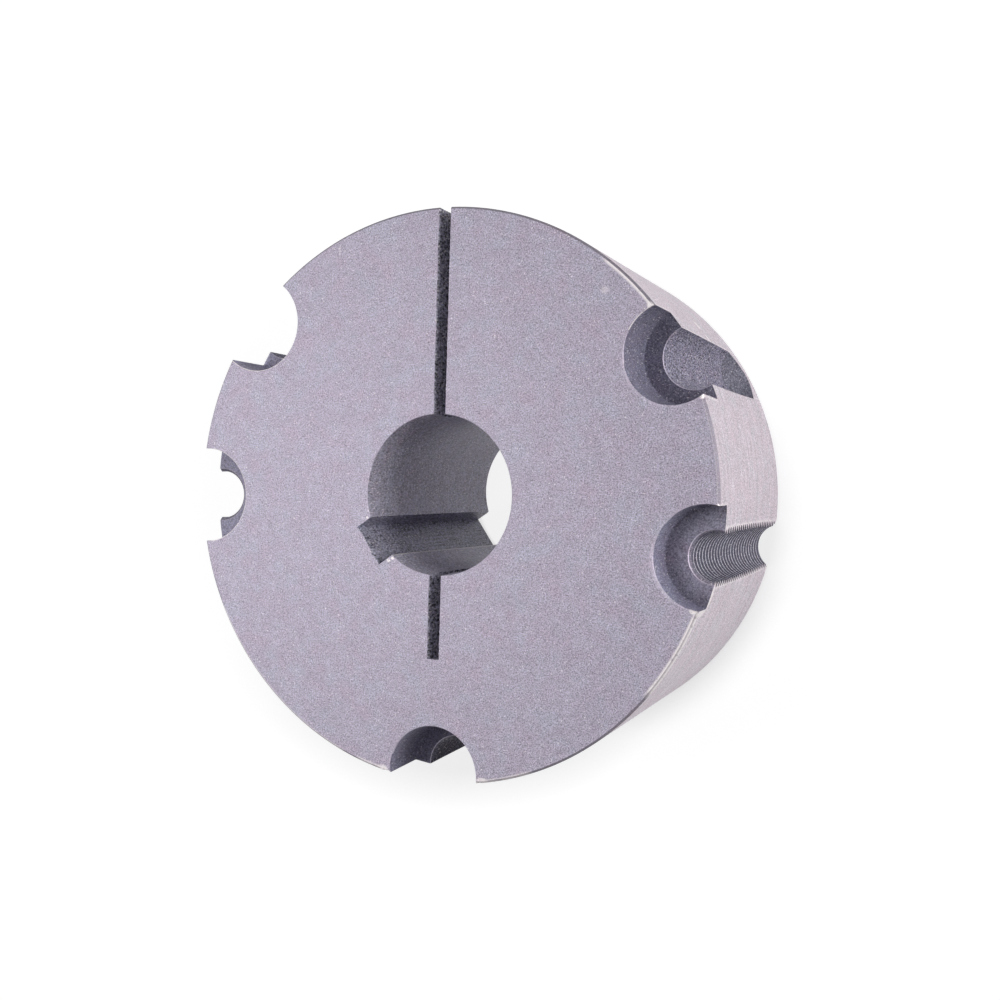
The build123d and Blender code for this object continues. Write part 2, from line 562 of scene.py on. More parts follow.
def seat_cutter(sizes, angle, finish, materials):
    """The cutter of a screw head's seat down to its floor, with a broken mouth and a round corner.

    The mouth's edge is worn rounder on one side, and bare on an arc that is partly painted highlight.
    """
    made = CUT_AS[angle]
    if angle in LOCKING_ANGLES:
        shoulder = sizes.length - sizes.locking_shoulder
        wall = "locking_seat"
        floor = "locking_seat"
    else:
        shoulder = sizes.length - sizes.jacking_shoulder
        wall = "jacking_seat"
        floor = "jacking_floor"
    # Seats in painted light take the lighter copy of the seats' colour, without painted shade
    if made["in_painted_light"]:
        wall = "painted_lit_seat"
        floor = "painted_lit_seat"
    seat = sizes.counterbore_diameter / 2 + made["wider"] * MM
    corner = sizes.seat_corner
    top = sizes.length
    worn_side, worn = made["worn"]

    def worn_share(turn):
        """How far the mouth is worn at an angle, from 0 to 1 on its worn side."""
        return max(0.0, math.cos(turn - math.radians(worn_side))) ** 3

    def profile_at(turn):
        """The seat's section at an angle, from its axis above the face to its axis on the floor."""
        edge = sizes.edge_break + worn * MM * worn_share(turn)
        profile = [(0, top + OVERRUN), (seat + edge, top + OVERRUN)]
        for step in range(CORNER_STEPS):
            lean = math.pi / 2 * step / (CORNER_STEPS - 1)
            profile.append((seat + edge - edge * math.sin(lean), top - edge + edge * math.cos(lean)))
        for step in range(CORNER_STEPS + 1):
            lean = math.pi / 2 * step / CORNER_STEPS
            profile.append((
                seat - corner + corner * math.cos(lean), shoulder + corner - corner * math.sin(lean),
            ))
        profile.append((0, shoulder))
        return profile

    def finish_at(row, turn):
        """The mouth's rounding is an edge, and where it is worn wide it turns into the wall."""
        if row == 2 * CORNER_STEPS + 2:
            return finish[floor]
        if row < 2 or row > CORNER_STEPS:
            return finish[wall]
        if row >= CORNER_STEPS - 1 and worn * worn_share(turn) > WIDE_WEAR:
            return finish[wall]
        if any(on_arc(turn, arc) for arc in made["bare"]):
            return finish["bare_edge"]
        return finish["edge"]

    centre = hole_centre(sizes, angle, made["shift"])
    return revolved("seat_cutter", profile_at, finish_at, HOLE_SEGMENTS, centre, materials)


def locking_hole(sizes, angle, finish, materials):
    """The cutter of a locking half-hole's blind hole below its seat, down to the drill's point."""
    shift, wider = CUT_AS[angle]["hole"]
    hole = sizes.locking_diameter / 2 + wider * MM
    edge = sizes.slit_break * 2
    shoulder = sizes.length - sizes.locking_shoulder
    end = sizes.length - sizes.locking_depth
    profile = (
        (0, shoulder + OVERRUN), (hole + edge, shoulder + OVERRUN), (hole + edge, shoulder),
        (hole, shoulder - edge), (hole, end), (0, end - hole),
    )
    numbers = [finish[band] for band in ("hole", "hole", "edge", "hole", "drill_point")]
    centre = hole_centre(sizes, angle, (shift, 0))
    return revolved(
        "locking_cutter", lambda _: profile, lambda row, _: numbers[row], HOLE_SEGMENTS, centre,
        materials,
    )


def countersinks(sizes, angle, finish, materials):
    """The cutters of a tapped hole's countersinks, at its shoulder and at the small end."""
    mouth = sizes.countersink_diameter / 2
    shoulder = sizes.length - sizes.jacking_shoulder
    broad = mouth + CUT_AS[angle]["countersink"] * MM
    narrow = CUT_AS[angle]["lead"][0] * MM
    lip = sizes.edge_break
    foot = shoulder - lip - (broad - narrow)
    upper = (
        (0, shoulder + OVERRUN), (broad + lip, shoulder + OVERRUN), (broad + lip, shoulder),
        (broad, shoulder - lip), (narrow, foot), (0, foot),
    )
    wide = mouth + LOWER_MOUTH_WIDER
    lower = (
        (0, -OVERRUN), (wide, -OVERRUN), (wide, 0), (wide - lip, lip), (mouth, LOWER_MOUTH_DEPTH),
        (0, LOWER_MOUTH_DEPTH),
    )
    # Every band below the lip is the countersink's
    numbers = [finish[band] for band in ("countersink", "countersink", "edge", "countersink")]
    centre = hole_centre(sizes, angle)
    return [
        revolved(
            "countersink_cutter", lambda _, made=profile: made, lambda row, _: numbers[min(row, 3)],
            HOLE_SEGMENTS, centre, materials,
        )
        for profile in (upper, lower)
    ]


def tapped_hole(sizes, angle, finish, materials):
    """The cutter of a right-handed thread from below the small end up into the jacking seat.

    The wall is one strip of the thread's section wound as a helix. Each end closes on a point of
    the axis.
    """
    pitch = sizes.thread_pitch
    crest = sizes.tap_drill_diameter / 2
    root = sizes.screw_diameter / 2
    mouth = sizes.countersink_diameter / 2
    shoulder = sizes.length - sizes.jacking_shoulder
    # Share of a pitch, the radius there and the finish above it: root flat, flank, crest flat, flank
    section = (
        (0.0, root, "thread"), (0.20, root, "thread"), (0.50, crest, "crest"), (0.70, crest, "thread"),
    )
    centre = hole_centre(sizes, angle)
    bottom = -2 * pitch
    turns = math.ceil((shoulder + pitch - bottom) / pitch)
    columns = turns * THREAD_SEGMENTS
    plain, starts, full = [value * MM for value in CUT_AS[angle]["lead"]]
    points = []
    for column in range(columns):
        turn = column / THREAD_SEGMENTS
        for rise, radius, _ in section:
            z = bottom + (turn + rise) * pitch
            # Plain at the top, and its crests cut back towards the small end
            share = min(1.0, max(0.0, (shoulder - z - starts) / (full - starts)))
            radius = plain + (radius - plain) * share
            opened = 1 - z / sizes.lower_lead
            radius = max(radius, min(root, crest + (mouth - crest) * opened))
            place = turned(radius, math.tau * turn, z)
            points.append(place + Vector((centre[0], centre[1], 0)))
    count = len(section)

    def corner(column, row):
        """The point's number, where the last row of a column is the first one a turn later."""
        if row == count:
            return (column + THREAD_SEGMENTS) * count
        return column * count + row

    faces = []
    last = columns - THREAD_SEGMENTS - 1
    for column in range(last):
        for row in range(count):
            corners = [
                corner(column, row), corner(column + 1, row),
                corner(column + 1, row + 1), corner(column, row + 1),
            ]
            faces.append((corners, finish[section[row][2]]))
    used = max(max(corners) for corners, _ in faces) + 1
    points = points[:used]
    start_tip = len(points)
    points.append(Vector((centre[0], centre[1], bottom - pitch)))
    end_tip = len(points)
    points.append(Vector((centre[0], centre[1], bottom + turns * pitch + pitch)))
    start_rim = [corner(column, 0) for column in range(THREAD_SEGMENTS + 1)]
    start_rim += [corner(0, row) for row in reversed(range(1, count))]
    end_rim = [corner(last + column, 0) for column in range(THREAD_SEGMENTS + 1)]
    end_rim += [corner(last, row) for row in reversed(range(1, count))]
    for rim, tip in ((start_rim, start_tip), (end_rim, end_tip)):
        for one, other in zip(rim, rim[1:] + rim[:1]):
            faces.append(([one, other, tip], finish["thread"]))
    return mesh_object("thread_cutter", points, faces, materials)


def nick(place, halves, seed, finish, materials):
    """The cutter of a nick: a lump of uneven facets."""
    lump = bmesh.new()
    bmesh.ops.create_icosphere(lump, subdivisions=2, radius=1.0)
    uneven = random.Random(seed)
    for point in lump.verts:
        share = uneven.uniform(*NICK_UNEVEN)
        point.co = Vector((a * share * half * MM for a, half in zip(point.co, halves)))
        point.co += Vector(place) * MM
    lump.verts.index_update()
    points = [point.co.copy() for point in lump.verts]
    faces = [([point.index for point in side.verts], finish["bare_edge"]) for side in lump.faces]
    lump.free()
    return mesh_object("nick_cutter", points, faces, materials)


def cut(solid, cutters):
    """Takes the cutters out of the solid, each leaving its own finish on the wall that it cuts."""
    for cutter in cutters:
        step = solid.modifiers.new(cutter.name, "BOOLEAN")
        step.object = cutter
        step.operation = "DIFFERENCE"
        step.solver = "EXACT"
        step.material_mode = "INDEX"
    view = bpy.context.evaluated_depsgraph_get()
    mesh = bpy.data.meshes.new_from_object(solid.evaluated_get(view))
    solid.modifiers.clear()
    spent = solid.data
    solid.data = mesh
    bpy.data.meshes.remove(spent)
    mesh.name = solid.name
    for cutter in cutters:
        form = cutter.data
        bpy.data.objects.remove(cutter)
        bpy.data.meshes.remove(form)


def smooth(piece):
    """Shades round walls smooth, and keeps real edges sharp and the faced ends flat."""
    mesh = piece.data
    mesh.polygons.foreach_set("use_smooth", [True] * len(mesh.polygons))
    mesh.set_sharp_from_angle(angle=SMOOTH_ANGLE)
    for side in mesh.polygons:
        if abs(side.normal.z) > FACED:
            side.use_smooth = False


# Materials


def node(tree, kind, *values, inputs=(), **settings):
    """Adds a shader node of a kind with its settings and gives its outputs.

    values go to its first inputs in order, and inputs holds others by name or number. A socket is
    linked to its input, and anything else is set on it.
    """
    added = tree.nodes.new("ShaderNode" + kind)
    for name, value in settings.items():
        setattr(added, name, value)
    for place, value in [*enumerate(values), *dict(inputs).items()]:
        if isinstance(value, bpy.types.NodeSocket):
            tree.links.new(value, added.inputs[place])
        else:
            added.inputs[place].default_value = value
    return added.outputs


def lumps(size, detail):
    """Inputs of a noise whose lumps have about this size."""
    return {"Scale": 1 / size, "Detail": detail, "Roughness": NOISE_ROUGHNESS}


def broken_off(tree, place, where):
    """The share of bare iron at a place where the coat has broken off unevenly."""
    size, detail, shares = BREAKS[where]
    breaks = node(tree, "TexNoise", place, inputs=lumps(size * MM, detail))[0]
    return node(tree, "MapRange", breaks, *shares)[0]


def round_place(tree, place):
    """A place's radius, angle and height about the bore's axis."""
    x, y, z = node(tree, "SeparateXYZ", place)
    x_squared = node(tree, "Math", x, x, operation="MULTIPLY")[0]
    y_squared = node(tree, "Math", y, y, operation="MULTIPLY")[0]
    squared = node(tree, "Math", x_squared, y_squared, operation="ADD")[0]
    radius = node(tree, "Math", squared, operation="SQRT")[0]
    angle = node(tree, "Math", y, x, operation="ARCTAN2")[0]
    return radius, angle, z


def tool_marks(tree, place, lay, pitch):
    """Noise drawn out along the way that the tool went: round the bore, upright or level."""
    if lay == "round":
        radius, angle, z = round_place(tree, place)
        along = node(tree, "Math", angle, MARKS_ROUND, operation="MULTIPLY")[0]
        drawn = node(tree, "CombineXYZ", radius, along, z)[0]
    else:
        drawn = node(tree, "VectorMath", place, MARKS_DRAWN[lay], operation="MULTIPLY")[0]
    return node(tree, "TexNoise", drawn, inputs=lumps(pitch, 1.0))[0]


def near_rim(tree, place, sizes):
    """How bright the two edges of the large end's chamfer are at a place, from 0 to 1: rubbed iron and
    painted glints.
    """
    large = sizes.large_end_diameter / 2
    rim = sizes.rim_chamfer
    edges = (
        (large - rim, sizes.length),
        (large - rim * math.sin(sizes.taper), sizes.length - rim * math.cos(sizes.taper)),
    )
    radius, angle, z = round_place(tree, place)
    gaps = []
    for edge_radius, edge_z in edges:
        off_radius = node(tree, "Math", radius, edge_radius, operation="SUBTRACT")[0]
        off_z = node(tree, "Math", z, edge_z, operation="SUBTRACT")[0]
        off = node(tree, "CombineXYZ", off_radius, off_z)[0]
        gaps.append(node(tree, "VectorMath", off, operation="LENGTH")["Value"])
    # The chamfer itself is what lies outside its inner edge and above its outer one
    outside = node(tree, "Math", radius, edges[0][0], operation="GREATER_THAN")[0]
    above = node(tree, "Math", z, edges[1][1], operation="GREATER_THAN")[0]
    chamfer = node(tree, "Math", outside, above, operation="MULTIPLY")[0]
    on_face = node(tree, "Math", 1.0, chamfer, operation="SUBTRACT")[0]
    rubbed = 0.0
    # Arcs of rubbed iron and of painted glints round the rim
    for middle, half, *shares, width in RIM_WEAR_AND_GLINTS:
        turned_off = node(tree, "Math", angle, math.radians(middle), operation="SUBTRACT")[0]
        off_middle = node(tree, "Math", turned_off, operation="ABSOLUTE")[0]
        full = math.radians(half - RIM_WEAR_AND_GLINT_FADE)
        arc = node(tree, "MapRange", off_middle, full, math.radians(half), 1.0, 0.0)[0]
        lines = [
            node(tree, "MapRange", gap, RIM_WEAR_AND_GLINT_FULL * width * MM, width * MM, 1.0, 0.0)[0]
            for gap in gaps
        ]
        # The line on the inner edge stays on the face
        lines[0] = node(tree, "Math", lines[0], on_face, operation="MULTIPLY")[0]
        for line, share in zip(lines + [chamfer], shares):
            here = node(tree, "Math", line, arc, operation="MULTIPLY")[0]
            here = node(tree, "Math", here, share, operation="MULTIPLY")[0]
            rubbed = node(tree, "Math", rubbed, here, operation="MAXIMUM")[0]
    return node(tree, "Math", rubbed, broken_off(tree, place, "rim"), operation="MULTIPLY")[0]


def in_bare_marks(tree, place):
    """How bare the iron is at a place for its marks, from 0 to 1."""
    bare = 0.0
    for middle, halves, share in BARE_MARKS:
        grown = [1 / (half * MM) for half in halves]
        moved = [-at / half for at, half in zip(middle, halves)]
        off = node(tree, "VectorMath", place, grown, moved, operation="MULTIPLY_ADD")[0]
        away = node(tree, "VectorMath", off, operation="LENGTH")["Value"]
        here = node(tree, "MapRange", away, BARE_MARK_FULL, 1.0, share, 0.0)[0]
        bare = node(tree, "Math", bare, here, operation="MAXIMUM")[0]
    return node(tree, "Math", bare, broken_off(tree, place, "marks"), operation="MULTIPLY")[0]


def half_hole_place(tree, place, sizes, angles):
    """A place's distance from the axis of the nearest of these half-holes, and its height."""
    x, y, z = node(tree, "SeparateXYZ", place)
    gap = None
    for angle in angles:
        centre_x, centre_y = hole_centre(sizes, angle, CUT_AS[angle]["shift"])
        off_x = node(tree, "Math", x, centre_x, operation="SUBTRACT")[0]
        off_y = node(tree, "Math", y, centre_y, operation="SUBTRACT")[0]
        off = node(tree, "CombineXYZ", off_x, off_y)[0]
        away = node(tree, "VectorMath", off, operation="LENGTH")["Value"]
        gap = away if gap is None else node(tree, "Math", gap, away, operation="MINIMUM")[0]
    return gap, z


def near_half_holes(tree, place, sizes, angles, shoulder, hole, width):
    """1 on the edges that the half-holes leave on the taper, falling to 0 at a width from them."""
    floor = sizes.length - shoulder
    gap, z = half_hole_place(tree, place, sizes, angles)
    seat = sizes.counterbore_diameter / 2
    above = node(tree, "Math", z, floor, operation="GREATER_THAN")[0]
    limit = node(tree, "Math", above, seat - hole, hole, operation="MULTIPLY_ADD")[0]
    off_wall = node(tree, "Math", gap, limit, operation="SUBTRACT")[0]
    side = node(tree, "Math", off_wall, operation="ABSOLUTE")[0]
    off_floor = node(tree, "Math", z, floor, operation="SUBTRACT")[0]
    drop = node(tree, "Math", off_floor, operation="ABSOLUTE")[0]
    # A whole metre is added beside the floor, where it has no edge
    beside = node(tree, "Math", gap, seat + width, operation="GREATER_THAN")[0]
    level = node(tree, "Math", drop, beside, operation="ADD")[0]
    nearest = node(tree, "Math", side, level, operation="MINIMUM")[0]
    return node(tree, "MapRange", nearest, 0.0, width, 1.0, 0.0)[0]


def rubbed_half_holes(tree, place, sizes, share):
    """How bare the iron is on the half-holes' edges on the taper where the coat has broken off, partly
    as painted highlight.
    """
    lock = near_half_holes(
        tree, place, sizes, LOCKING_ANGLES, sizes.locking_shoulder, sizes.locking_diameter / 2,
        LOCKING_LINE,
    )
    jack = near_half_holes(
        tree, place, sizes, JACKING_ANGLES, sizes.jacking_shoulder, sizes.screw_diameter / 2,
        JACKING_LINE,
    )
    near = node(tree, "Math", lock, jack, operation="MAXIMUM")[0]
    broken = broken_off(tree, place, "half_holes")
    rubbed = node(tree, "Math", near, broken, operation="MULTIPLY")[0]
    return node(tree, "Math", rubbed, share, operation="MULTIPLY")[0]


def rubbed_key_edge(tree, place, sizes, share):
    """How bare the iron is in a line where the keyway's lower side meets the bore, partly as painted
    highlight.
    """
    across = (math.sin(KEY_ANGLE), -math.cos(KEY_ANGLE), 0)
    aside = node(tree, "VectorMath", place, across, operation="DOT_PRODUCT")["Value"]
    off_side = node(tree, "Math", aside, sizes.key_width / 2, operation="ADD")[0]
    off_side = node(tree, "Math", off_side, operation="ABSOLUTE")[0]
    return node(tree, "MapRange", off_side, *KEY_LINE, share, 0.0)[0]


def light_left_by_painted_shade(tree, place, sizes, painted_shade):
    """The share of the colour that painted shade in the corners of some seats leaves at a place."""
    angles, level, reach, left = painted_shade
    gap, z = half_hole_place(tree, place, sizes, angles)
    off_wall = node(tree, "Math", sizes.counterbore_diameter / 2, gap, operation="SUBTRACT")[0]
    from_wall = node(tree, "Math", off_wall, operation="ABSOLUTE")[0]
    from_floor = node(tree, "Math", z, level, operation="SUBTRACT")[0]
    from_corner = node(tree, "Math", from_wall, from_floor, operation="ADD")[0]
    return node(tree, "MapRange", from_corner, 0.0, reach, left, 1.0)[0]


def phosphated_iron(name, colour, bare, look, sizes):
    """Grey cast iron with a phosphate coat: matt, lilac-grey and finely mottled, over tool marks.

    look says how each finish differs. mottle is the strength of the coat's crystals, grain their
    size and drawn how they are drawn out upright. marks, lay, pitch and groove are the tool marks'
    strength, way, spacing and depth. specks and rare are the strength and the scarcity of bright
    grains. metallic, gloss, rough and relief are the shader's. The shade entry holds the half-holes
    whose corners get painted shade, the height of those corners, how far the painted shade reaches
    and the share of the colour that it leaves in the corner. rim, marked, key_edge, edges and rubbed
    say where bright bare iron shows, which on the rim is partly painted glints and on the edges partly
    painted highlight.
    """
    look = PLAIN_LOOK | look
    material = bpy.data.materials.new(name)
    material.use_nodes = True
    tree = material.node_tree
    tree.nodes.clear()
    place = node(tree, "TexCoord")["Object"]
    # The coat's crystals are some hundredths of a millimetre, drawn ten times as coarse to show
    upright = node(tree, "VectorMath", place, (1, 1, look["drawn"]), operation="MULTIPLY")[0]
    crystals = node(tree, "TexNoise", upright, inputs=lumps(look["grain"] * MM, 1.0))[0]
    patches = node(tree, "TexNoise", place, inputs=lumps(PATCH_SIZE, 0.0))[0]
    stain = node(tree, "TexNoise", place, inputs=lumps(STAIN_SIZE, 1.0))[0]
    marks = tool_marks(tree, place, look["lay"], look["pitch"] * MM)

    # How light the coat is
    mottle = look["mottle"]
    mottled = node(tree, "MapRange", crystals, *CRYSTAL_RANGE, -mottle, mottle)[0]
    scored = node(tree, "MapRange", marks, *MARK_RANGE, -look["marks"], look["marks"])[0]
    uneven = node(tree, "Math", mottled, scored, operation="ADD")[0]
    strength = node(tree, "Math", 1.0, uneven, operation="ADD")[0]
    patchy = node(tree, "MapRange", patches, *PATCH_LIGHT)[0]
    strength = node(tree, "Math", strength, patchy, operation="MULTIPLY")[0]
    # Painted shade: darker towards the corners of some seats, and in the hole below the seat at 270°
    if look["painted_shade"]:
        left = light_left_by_painted_shade(tree, place, sizes, look["painted_shade"])
        strength = node(tree, "Math", strength, left, operation="MULTIPLY")[0]

    # The coat's colour, between a pinker and a greener shade
    shades = {
        FIRST: (*(value * share for value, share in zip(colour, PINKER)), 1.0),
        SECOND: (*(value * share for value, share in zip(colour, GREENER)), 1.0),
    }
    spotted = node(tree, "MapRange", patches, *PATCH_TINT)[0]
    tint = node(tree, "Math", spotted, stain, operation="ADD")[0]
    tint = node(tree, "MapRange", tint, *WHOLE_TINT)[0]
    base = node(tree, "Mix", tint, inputs=shades, data_type="RGBA")[MIXED]
    base = node(tree, "VectorMath", base, inputs={"Scale": strength}, operation="SCALE")[0]

    # Bare iron shows in bright grains and where the coat is rubbed off
    grains = node(tree, "TexNoise", upright, inputs=lumps(GRAIN_SIZE, 0.0))[0]
    rare = look["rare"]
    shown = [node(tree, "MapRange", grains, rare, rare + GRAIN_EDGE, 0.0, look["specks"])[0]]
    if look["rim"]:
        shown.append(near_rim(tree, place, sizes))
    if look["marked"]:
        shown.append(in_bare_marks(tree, place))
    if look["key_edge"]:
        shown.append(rubbed_key_edge(tree, place, sizes, look["key_edge"]))
    if look["edges"]:
        shown.append(rubbed_half_holes(tree, place, sizes, look["edges"]))
    if look["rubbed"]:
        wear = node(tree, "TexNoise", place, inputs=lumps(WEAR_SIZE, 2.0))[0]
        least, most = (limit - look["rubbed"] * WEAR_REACH for limit in WEAR_RANGE)
        shown.append(node(tree, "MapRange", wear, least, most, 0.0, MOST_WEAR)[0])
    for share in shown:
        layers = {FIRST: base, SECOND: bare}
        base = node(tree, "Mix", share, inputs=layers, data_type="RGBA")[MIXED]

    # Relief of the crystals and of the tool marks' grooves
    grooves = node(tree, "Math", marks, look["groove"], operation="MULTIPLY")[0]
    height = node(tree, "Math", crystals, grooves, operation="ADD")[0]
    relief = node(tree, "Bump", inputs={
        "Strength": look["relief"], "Distance": RELIEF_DEPTH, "Height": height,
    })[0]
    smoothest = look["rough"] - ROUGH_SPREAD
    roughest = look["rough"] + ROUGH_SPREAD
    roughness = node(tree, "MapRange", crystals, *ROUGH_RANGE, smoothest, roughest)[0]
    shader = node(tree, "BsdfPrincipled", inputs={
        "Base Color": base, "Metallic": look["metallic"], "Roughness": roughness,
        "Normal": relief, "Specular IOR Level": look["gloss"],
    })[0]
    node(tree, "OutputMaterial", shader)
    return material


def bush_materials(colours, sizes):
    """Every finish of the bush, in the order of the piece's material slots."""
    locking_floor = sizes.length - sizes.locking_shoulder
    jacking_floor = sizes.length - sizes.jacking_shoulder
    seat = {
        "mottle": 0.6, "grain": 0.35, "drawn": 0.5, "marks": 0.0, "metallic": 0.06, "gloss": 0.15,
        "specks": 0.6, "rare": 0.70, "rough": 0.65,
    }
    looks = {
        # Faced in the lathe: matt and lilac, with the faintest rings
        "face": (colours.face, {
            "mottle": 0.75, "grain": 0.27, "marks": 0.05, "metallic": 0.3, "specks": 0.8, "relief": 0.35,
            "rim": True, "marked": True,
        }),
        # Turned taper: paler and smoother, with fine marks round it and rubbed edges
        "flank": (colours.flank, {
            "mottle": 0.6, "marks": 0.2, "metallic": 0.3, "specks": 0.7, "edges": 0.85, "drawn": 0.6,
            "rim": True, "marked": True,
        }),
        # Chamfers, turned as the flank is: darker than the face as painted shade, and rubbed at their
        # edges to bare iron with painted glints
        "rim": (colours.rim, {
            "mottle": 0.4, "marks": 0.1, "metallic": 0.3, "rim": True, "marked": True,
        }),
        # Bored: smooth, with marks round it
        "bore": (colours.bore, {
            "mottle": 0.7, "grain": 0.4, "drawn": 0.5, "marks": 0.12, "pitch": 1.2, "metallic": 0.25,
            "gloss": 0.4, "specks": 0.9, "rare": 0.66, "key_edge": 0.9,
        }),
        # Broached: drawn out along the bore
        "keyway": (colours.keyway, {
            "mottle": 1.1, "grain": 0.4, "drawn": 0.5, "marks": 0.25, "lay": "upright", "metallic": 0.2,
            "gloss": 0.3, "specks": 0.8, "rare": 0.68,
        }),
        # Sawn: rough and scored
        "saw_cut": (colours.saw_cut, {
            "mottle": 1.3, "grain": 0.5, "drawn": 0.5, "marks": 0.35, "lay": "level", "metallic": 0.15,
            "gloss": 0.2, "specks": 0.9, "rare": 0.66,
        }),
        # Counterbored: matt, with painted shade darkening some seats towards the foot of their walls
        "locking_seat": (colours.seat, seat | {
            "painted_shade": (LOCKING_ANGLES[:1], locking_floor, 25 * MM, 0.67),
        }),
        "jacking_seat": (colours.seat, seat | {
            "painted_shade": (JACKING_ANGLES, jacking_floor, 5 * MM, 0.75),
        }),
        # The jacking seats' floors take a lighter colour as painted light
        "jacking_floor": (colours.painted_lit_seat_floor, seat | {
            "painted_shade": (JACKING_ANGLES, jacking_floor, 5 * MM, 0.58),
        }),
        # The seats' finish in its lighter copy, as painted light
        "painted_lit_seat": (colours.painted_lit_seat, seat),
        "countersink": (colours.countersink, seat),
        # Drilled: the roughest
        "hole": (colours.hole, {
            "mottle": 1.2, "grain": 0.35, "drawn": 0.5, "marks": 0.0, "metallic": 0.04, "gloss": 0.1,
            "specks": 0.8, "rare": 0.68, "rough": 0.7,
            # Painted shade in the hole below the seat at 270°
            "painted_shade": (LOCKING_ANGLES[2:], locking_floor, 5 * MM, 0.5),
        }),
        # Where the drill's point ended: smoother, and darker than the hole as painted shade
        "drill_point": (colours.drill_point, {
            "mottle": 0.7, "grain": 0.4, "marks": 0.0, "metallic": 0.04, "gloss": 0.1, "rough": 0.7,
            "specks": 0.6, "rare": 0.7,
        }),
        # Tapped: dark roots and flanks, with pale crests
        "thread": (colours.thread, {
            "mottle": 0.5, "drawn": 0.5, "marks": 0.0, "metallic": 0.1, "gloss": 0.2, "specks": 0.4,
        }),
        "crest": (colours.crest, {"mottle": 0.8, "drawn": 0.5, "marks": 0.0, "metallic": 0.2}),
        # Broken edges, smoother than the face and lighter as painted highlight
        "edge": (colours.edge, {"mottle": 0.4, "metallic": 0.3, "marked": True}),
        # Where handling has rubbed the coat through to bare iron, and on the seats' mouths partly
        # painted highlight
        "bare_edge": (colours.edge, {"mottle": 0.4, "metallic": 0.3, "rubbed": 0.75}),
    }
    return {
        place: phosphated_iron("phosphated_iron_" + place, colour, colours.bare, look, sizes)
        for place, (colour, look) in looks.items()
    }


# Studio


def seen_rays(tree):
    """1 for rays that the camera, a mirror or glass sends out, and 0 for scattered light."""
    path = node(tree, "LightPath")
    camera_or_mirror = (path["Is Camera Ray"], path["Is Glossy Ray"])
    seen = node(tree, "Math", *camera_or_mirror, operation="MAXIMUM")[0]
    return node(tree, "Math", seen, path["Is Transmission Ray"], operation="MAXIMUM")[0]


def kept_white(tree):
    """The share of the floor's white that the bush's painted shadows leave at a place."""
    # The painted close shadow where the bush stands on the paper is the deepest on the side towards -Y
    open_share = node(tree, "AmbientOcclusion", inputs={"Distance": CLOSE_REACH}, samples=8)["AO"]
    place = node(tree, "TexCoord")["Object"]
    radius, _, _ = round_place(tree, place)
    x, y, _ = node(tree, "SeparateXYZ", place)
    inside = node(tree, "MapRange", radius, *BORE_WHITE)[0]
    left = node(tree, "MapRange", y, *CLOSE_WHITE)[0]
    left = node(tree, "Math", left, inside, operation="MAXIMUM")[0]
    close = node(tree, "MapRange", open_share, *CLOSE_OPEN, left, 1.0)[0]
    # A painted soft shadow, as if the large end threw it a little towards -X, the deepest towards -Y
    aside = node(tree, "VectorMath", place, PAINTED_SHADOW_MIDDLE, operation="DISTANCE")["Value"]
    depth = node(tree, "Math", x, PAINTED_SHADOW_LEAN, y, operation="MULTIPLY_ADD")[0]
    deepest = node(tree, "MapRange", depth, *PAINTED_SHADOW_WHITE)[0]
    painted_shadow = node(tree, "MapRange", aside, *PAINTED_SHADOW_EDGE, deepest, 1.0)[0]
    painted_shadow = node(tree, "Math", painted_shadow, inside, operation="MAXIMUM")[0]
    return node(tree, "Math", close, painted_shadow, operation="MINIMUM")[0]


def studio_floor(settings):
    """Pale floor that shows white to the camera, keeps the bush's soft shadow and has painted shadows on
    its white.
    """
    size = FLOOR_HALF_SIZE
    corners = [(-size, -size, 0), (size, -size, 0), (size, size, 0), (-size, size, 0)]
    material = bpy.data.materials.new("matt_paper_floor")
    material.use_nodes = True
    tree = material.node_tree
    tree.nodes.clear()
    paper = node(tree, "BsdfDiffuse", settings.floor, PAPER_ROUGHNESS)[0]
    white = node(tree, "Math", kept_white(tree), settings.lift, operation="MULTIPLY")[0]
    shown = node(tree, "Math", seen_rays(tree), white, operation="MULTIPLY")[0]
    lift = node(tree, "Emission", WHITE, shown)[0]
    both = node(tree, "AddShader", paper, lift)[0]
    node(tree, "OutputMaterial", both)
    floor = mesh_object("studio_floor", corners, [((0, 1, 2, 3), 0)], [material])


def studio_world(settings):
    """Even light from all round, white where the camera or a reflection sees it."""
    world = bpy.data.worlds.new("studio_world")
    bpy.context.scene.world = world
    world.use_nodes = True
    tree = world.node_tree
    tree.nodes.clear()
    # The front of the studio, towards -Y, is darker
    towards = node(tree, "TexCoord")["Generated"]
    depth = node(tree, "SeparateXYZ", towards)[1]
    front, back = (share * settings.world for share in WORLD_SHARES)
    even = node(tree, "MapRange", depth, *WORLD_DEPTHS, front, back)[0]
    strength = node(tree, "Math", even, seen_rays(tree), operation="MAXIMUM")[0]
    light = node(tree, "Background", WHITE, strength)[0]
    node(tree, "OutputWorld", light)


def soft_lamp(name, place, power):
    """A square soft lamp that looks at the middle of the bush."""
    lamp = bpy.data.lights.new(name, "AREA")
    lamp.shape = "SQUARE"
    lamp.size = LAMP_SIZE
    lamp.energy = power
    stand = bpy.data.objects.new(name, lamp)
    stand.location = Vector(place)
    stand.rotation_euler = (Vector(LAMP_TARGET) - Vector(place)).to_track_quat("-Z", "Y").to_euler()
    bpy.context.scene.collection.objects.link(stand)


def photo_camera(settings):
    """The camera at the photograph's place, worked out from the bush's own sizes."""
    camera = bpy.data.cameras.new("photo_camera")
    camera.sensor_width = 36.0
    camera.lens = settings.lens
    camera.shift_x, camera.shift_y = CAMERA_SHIFT
    stand = bpy.data.objects.new("photo_camera", camera)
    stand.location = Vector(CAMERA_PLACE) * MM
    stand.rotation_euler = Euler([math.radians(angle) for angle in CAMERA_TURN])
    bpy.context.scene.collection.objects.link(stand)
    bpy.context.scene.camera = stand


